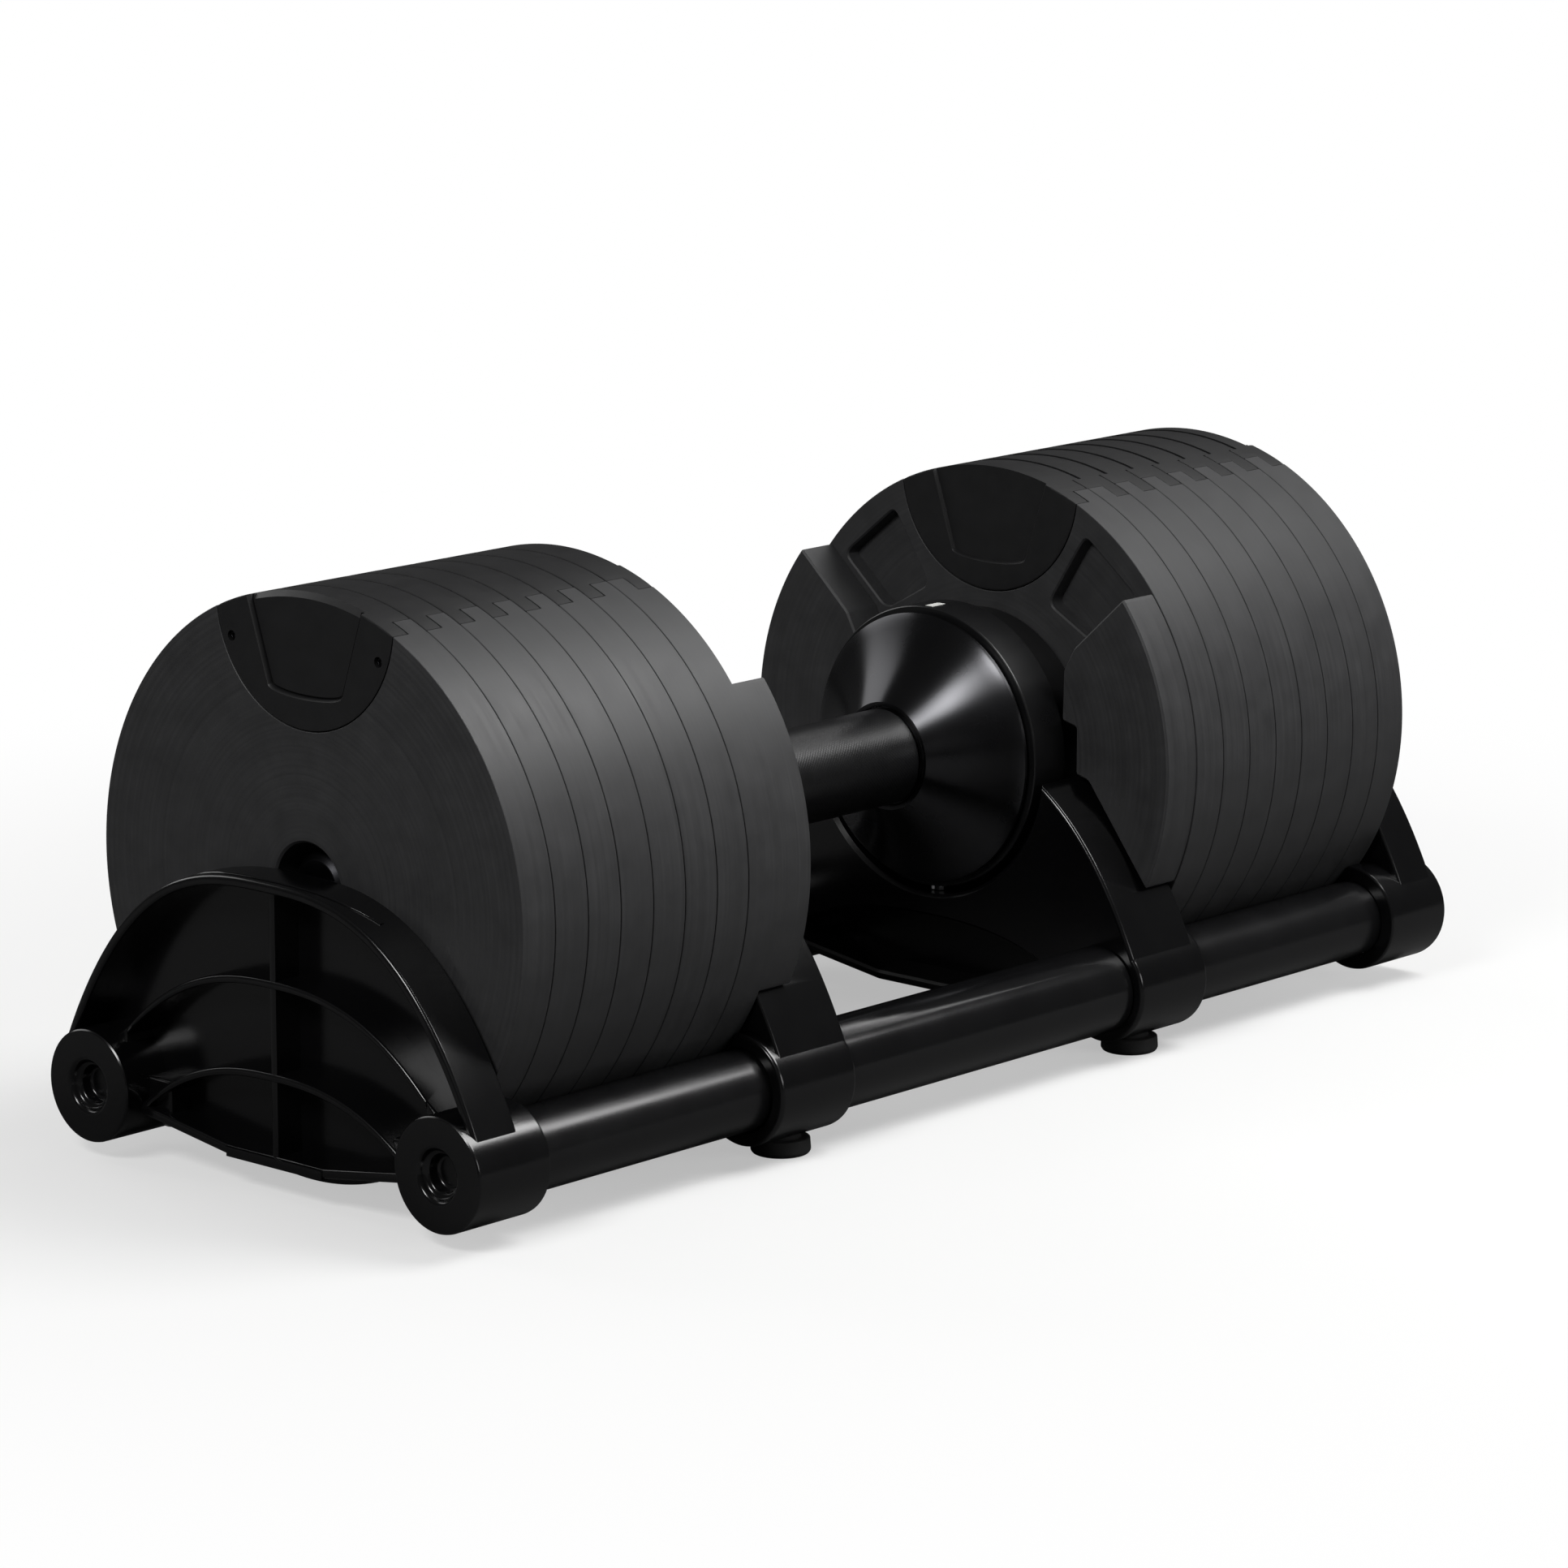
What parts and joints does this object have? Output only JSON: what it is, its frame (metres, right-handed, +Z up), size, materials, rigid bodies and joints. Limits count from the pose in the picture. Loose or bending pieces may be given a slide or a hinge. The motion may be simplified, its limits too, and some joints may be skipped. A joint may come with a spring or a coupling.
{
  "type": "adjustable dumbbell",
  "caption": "Adjustable dumbbell docked in its cradle: stacks of round plates on a twist grip whose locking bars pick up or leave plates, over a two-rail tray with four brackets.",
  "frame": {"origin": "on the floor under the middle of the grip, centre of the foot plane", "axes": "+X along the handle towards the right-hand stack, -Y towards the front rail, +Z up"},
  "size_m": [0.4474, 0.1788, 0.175],
  "materials": {
    "plate_steel": "turned steel with a thin matt dark grey coat",
    "guide_nylon": "black moulded nylon, satin",
    "cradle_plastic": "black moulded plastic, glossy on its edges",
    "rail_steel": "black coated steel bar, satin",
    "rail_sleeve": "black coated steel tube, satin",
    "grip_steel": "black coated steel with fine knurling",
    "handle_steel": "black coated turned steel, glossy",
    "bare_steel": "ground steel, oiled",
    "bar_steel": "ground steel, black oxide",
    "screw_zinc": "bright zinc plate",
    "mark_enamel": "white enamel filled into the index mark",
    "foot_rubber": "black rubber"
  },
  "bodies": {
    "cradle": {"end_bracket_left": "cradle_plastic", "end_bracket_right": "cradle_plastic", "inner_bracket_left": "cradle_plastic", "inner_bracket_right": "cradle_plastic", "rail_front": "rail_steel", "rail_back": "rail_steel", "rail_sleeve_front": "rail_sleeve", "rail_sleeve_back": "rail_sleeve", "clamp_screw_left_front": "screw_zinc", "clamp_screw_left_back": "screw_zinc", "clamp_screw_right_front": "screw_zinc", "clamp_screw_right_back": "screw_zinc", "foot_left_front": "foot_rubber", "foot_left_back": "foot_rubber", "foot_right_front": "foot_rubber", "foot_right_back": "foot_rubber"},
    "handle": {"core_tube": "bare_steel", "hub_left": "handle_steel", "hub_right": "handle_steel", "inner_plate_left": "plate_steel", "inner_plate_right": "plate_steel", "inner_guide_left": "guide_nylon", "inner_guide_right": "guide_nylon"},
    "grip": {"grip_sleeve": "grip_steel", "cam_sleeve": "bare_steel", "flange_left": "handle_steel", "flange_right": "handle_steel"},
    "bar_left": {"locking_bar_left": "bar_steel"},
    "bar_right": {"locking_bar_right": "bar_steel"},
    "plunger_left": {"lock_plunger_left": "bare_steel"},
    "plunger_right": {"lock_plunger_right": "bare_steel"},
    "loose_plate_left_2": {"plate_left_2": "plate_steel", "guide_left_2": "guide_nylon"},
    "loose_plate_left_3": {"plate_left_3": "plate_steel", "guide_left_3": "guide_nylon"},
    "loose_plate_left_4": {"plate_left_4": "plate_steel", "guide_left_4": "guide_nylon"},
    "loose_plate_left_5": {"plate_left_5": "plate_steel", "guide_left_5": "guide_nylon"},
    "loose_plate_left_6": {"plate_left_6": "plate_steel", "guide_left_6": "guide_nylon"},
    "loose_plate_left_7": {"plate_left_7": "plate_steel", "guide_left_7": "guide_nylon"},
    "loose_plate_left_8": {"plate_left_8": "plate_steel", "guide_left_8": "guide_nylon"},
    "loose_plate_right_2": {"plate_right_2": "plate_steel", "guide_right_2": "guide_nylon"},
    "loose_plate_right_3": {"plate_right_3": "plate_steel", "guide_right_3": "guide_nylon"},
    "loose_plate_right_4": {"plate_right_4": "plate_steel", "guide_right_4": "guide_nylon"},
    "loose_plate_right_5": {"plate_right_5": "plate_steel", "guide_right_5": "guide_nylon"},
    "loose_plate_right_6": {"plate_right_6": "plate_steel", "guide_right_6": "guide_nylon"},
    "loose_plate_right_7": {"plate_right_7": "plate_steel", "guide_right_7": "guide_nylon"},
    "loose_plate_right_8": {"plate_right_8": "plate_steel", "guide_right_8": "guide_nylon"}
  },
  "joints": [
    {"name": "dumbbell_lift", "type": "slide", "parent": "cradle", "child": "handle", "axis": [0, 0, 1], "range_m": [0, 0.15]},
    {"name": "grip_twist", "type": "hinge", "parent": "handle", "child": "grip", "pos_m": [0, 0, 0.089], "axis": [1, 0, 0], "range_deg": [-280, 0]},
    {"name": "bar_left_slide", "type": "slide", "parent": "handle", "child": "bar_left", "axis": [-1, 0, 0], "range_m": [-0.093, 0]},
    {"name": "bar_right_slide", "type": "slide", "parent": "handle", "child": "bar_right", "axis": [1, 0, 0], "range_m": [-0.093, 0]},
    {"name": "plunger_left_drop", "type": "slide", "parent": "handle", "child": "plunger_left", "axis": [0, 0, 1], "range_m": [-0.004, 0]},
    {"name": "plunger_right_drop", "type": "slide", "parent": "handle", "child": "plunger_right", "axis": [0, 0, 1], "range_m": [-0.004, 0]},
    {"name": "plate_left_2_lift", "type": "slide", "parent": "cradle", "child": "loose_plate_left_2", "axis": [0, 0, 1], "range_m": [0, 0.15]},
    {"name": "plate_left_3_lift", "type": "slide", "parent": "cradle", "child": "loose_plate_left_3", "axis": [0, 0, 1], "range_m": [0, 0.15]},
    {"name": "plate_left_4_lift", "type": "slide", "parent": "cradle", "child": "loose_plate_left_4", "axis": [0, 0, 1], "range_m": [0, 0.15]},
    {"name": "plate_left_5_lift", "type": "slide", "parent": "cradle", "child": "loose_plate_left_5", "axis": [0, 0, 1], "range_m": [0, 0.15]},
    {"name": "plate_left_6_lift", "type": "slide", "parent": "cradle", "child": "loose_plate_left_6", "axis": [0, 0, 1], "range_m": [0, 0.15]},
    {"name": "plate_left_7_lift", "type": "slide", "parent": "cradle", "child": "loose_plate_left_7", "axis": [0, 0, 1], "range_m": [0, 0.15]},
    {"name": "plate_left_8_lift", "type": "slide", "parent": "cradle", "child": "loose_plate_left_8", "axis": [0, 0, 1], "range_m": [0, 0.15]},
    {"name": "plate_right_2_lift", "type": "slide", "parent": "cradle", "child": "loose_plate_right_2", "axis": [0, 0, 1], "range_m": [0, 0.15]},
    {"name": "plate_right_3_lift", "type": "slide", "parent": "cradle", "child": "loose_plate_right_3", "axis": [0, 0, 1], "range_m": [0, 0.15]},
    {"name": "plate_right_4_lift", "type": "slide", "parent": "cradle", "child": "loose_plate_right_4", "axis": [0, 0, 1], "range_m": [0, 0.15]},
    {"name": "plate_right_5_lift", "type": "slide", "parent": "cradle", "child": "loose_plate_right_5", "axis": [0, 0, 1], "range_m": [0, 0.15]},
    {"name": "plate_right_6_lift", "type": "slide", "parent": "cradle", "child": "loose_plate_right_6", "axis": [0, 0, 1], "range_m": [0, 0.15]},
    {"name": "plate_right_7_lift", "type": "slide", "parent": "cradle", "child": "loose_plate_right_7", "axis": [0, 0, 1], "range_m": [0, 0.15]},
    {"name": "plate_right_8_lift", "type": "slide", "parent": "cradle", "child": "loose_plate_right_8", "axis": [0, 0, 1], "range_m": [0, 0.15]}
  ],
  "couplings": [
    {"joint": "bar_left_slide", "follows": "grip_twist", "m_per_rad": 0.019008},
    {"joint": "bar_right_slide", "follows": "grip_twist", "m_per_rad": 0.019008},
    {"joint": "plunger_left_drop", "follows": "dumbbell_lift", "ratio": -0.0266},
    {"joint": "plunger_right_drop", "follows": "dumbbell_lift", "ratio": -0.0266},
    {"joint": "plate_left_2_lift", "follows": "dumbbell_lift", "ratio": 1},
    {"joint": "plate_left_3_lift", "follows": "dumbbell_lift", "ratio": 1},
    {"joint": "plate_left_4_lift", "follows": "dumbbell_lift", "ratio": 1},
    {"joint": "plate_left_5_lift", "follows": "dumbbell_lift", "ratio": 1},
    {"joint": "plate_left_6_lift", "follows": "dumbbell_lift", "ratio": 1},
    {"joint": "plate_left_7_lift", "follows": "dumbbell_lift", "ratio": 1},
    {"joint": "plate_left_8_lift", "follows": "dumbbell_lift", "ratio": 1},
    {"joint": "plate_right_2_lift", "follows": "dumbbell_lift", "ratio": 1},
    {"joint": "plate_right_3_lift", "follows": "dumbbell_lift", "ratio": 1},
    {"joint": "plate_right_4_lift", "follows": "dumbbell_lift", "ratio": 1},
    {"joint": "plate_right_5_lift", "follows": "dumbbell_lift", "ratio": 1},
    {"joint": "plate_right_6_lift", "follows": "dumbbell_lift", "ratio": 1},
    {"joint": "plate_right_7_lift", "follows": "dumbbell_lift", "ratio": 1},
    {"joint": "plate_right_8_lift", "follows": "dumbbell_lift", "ratio": 1}
  ]
}
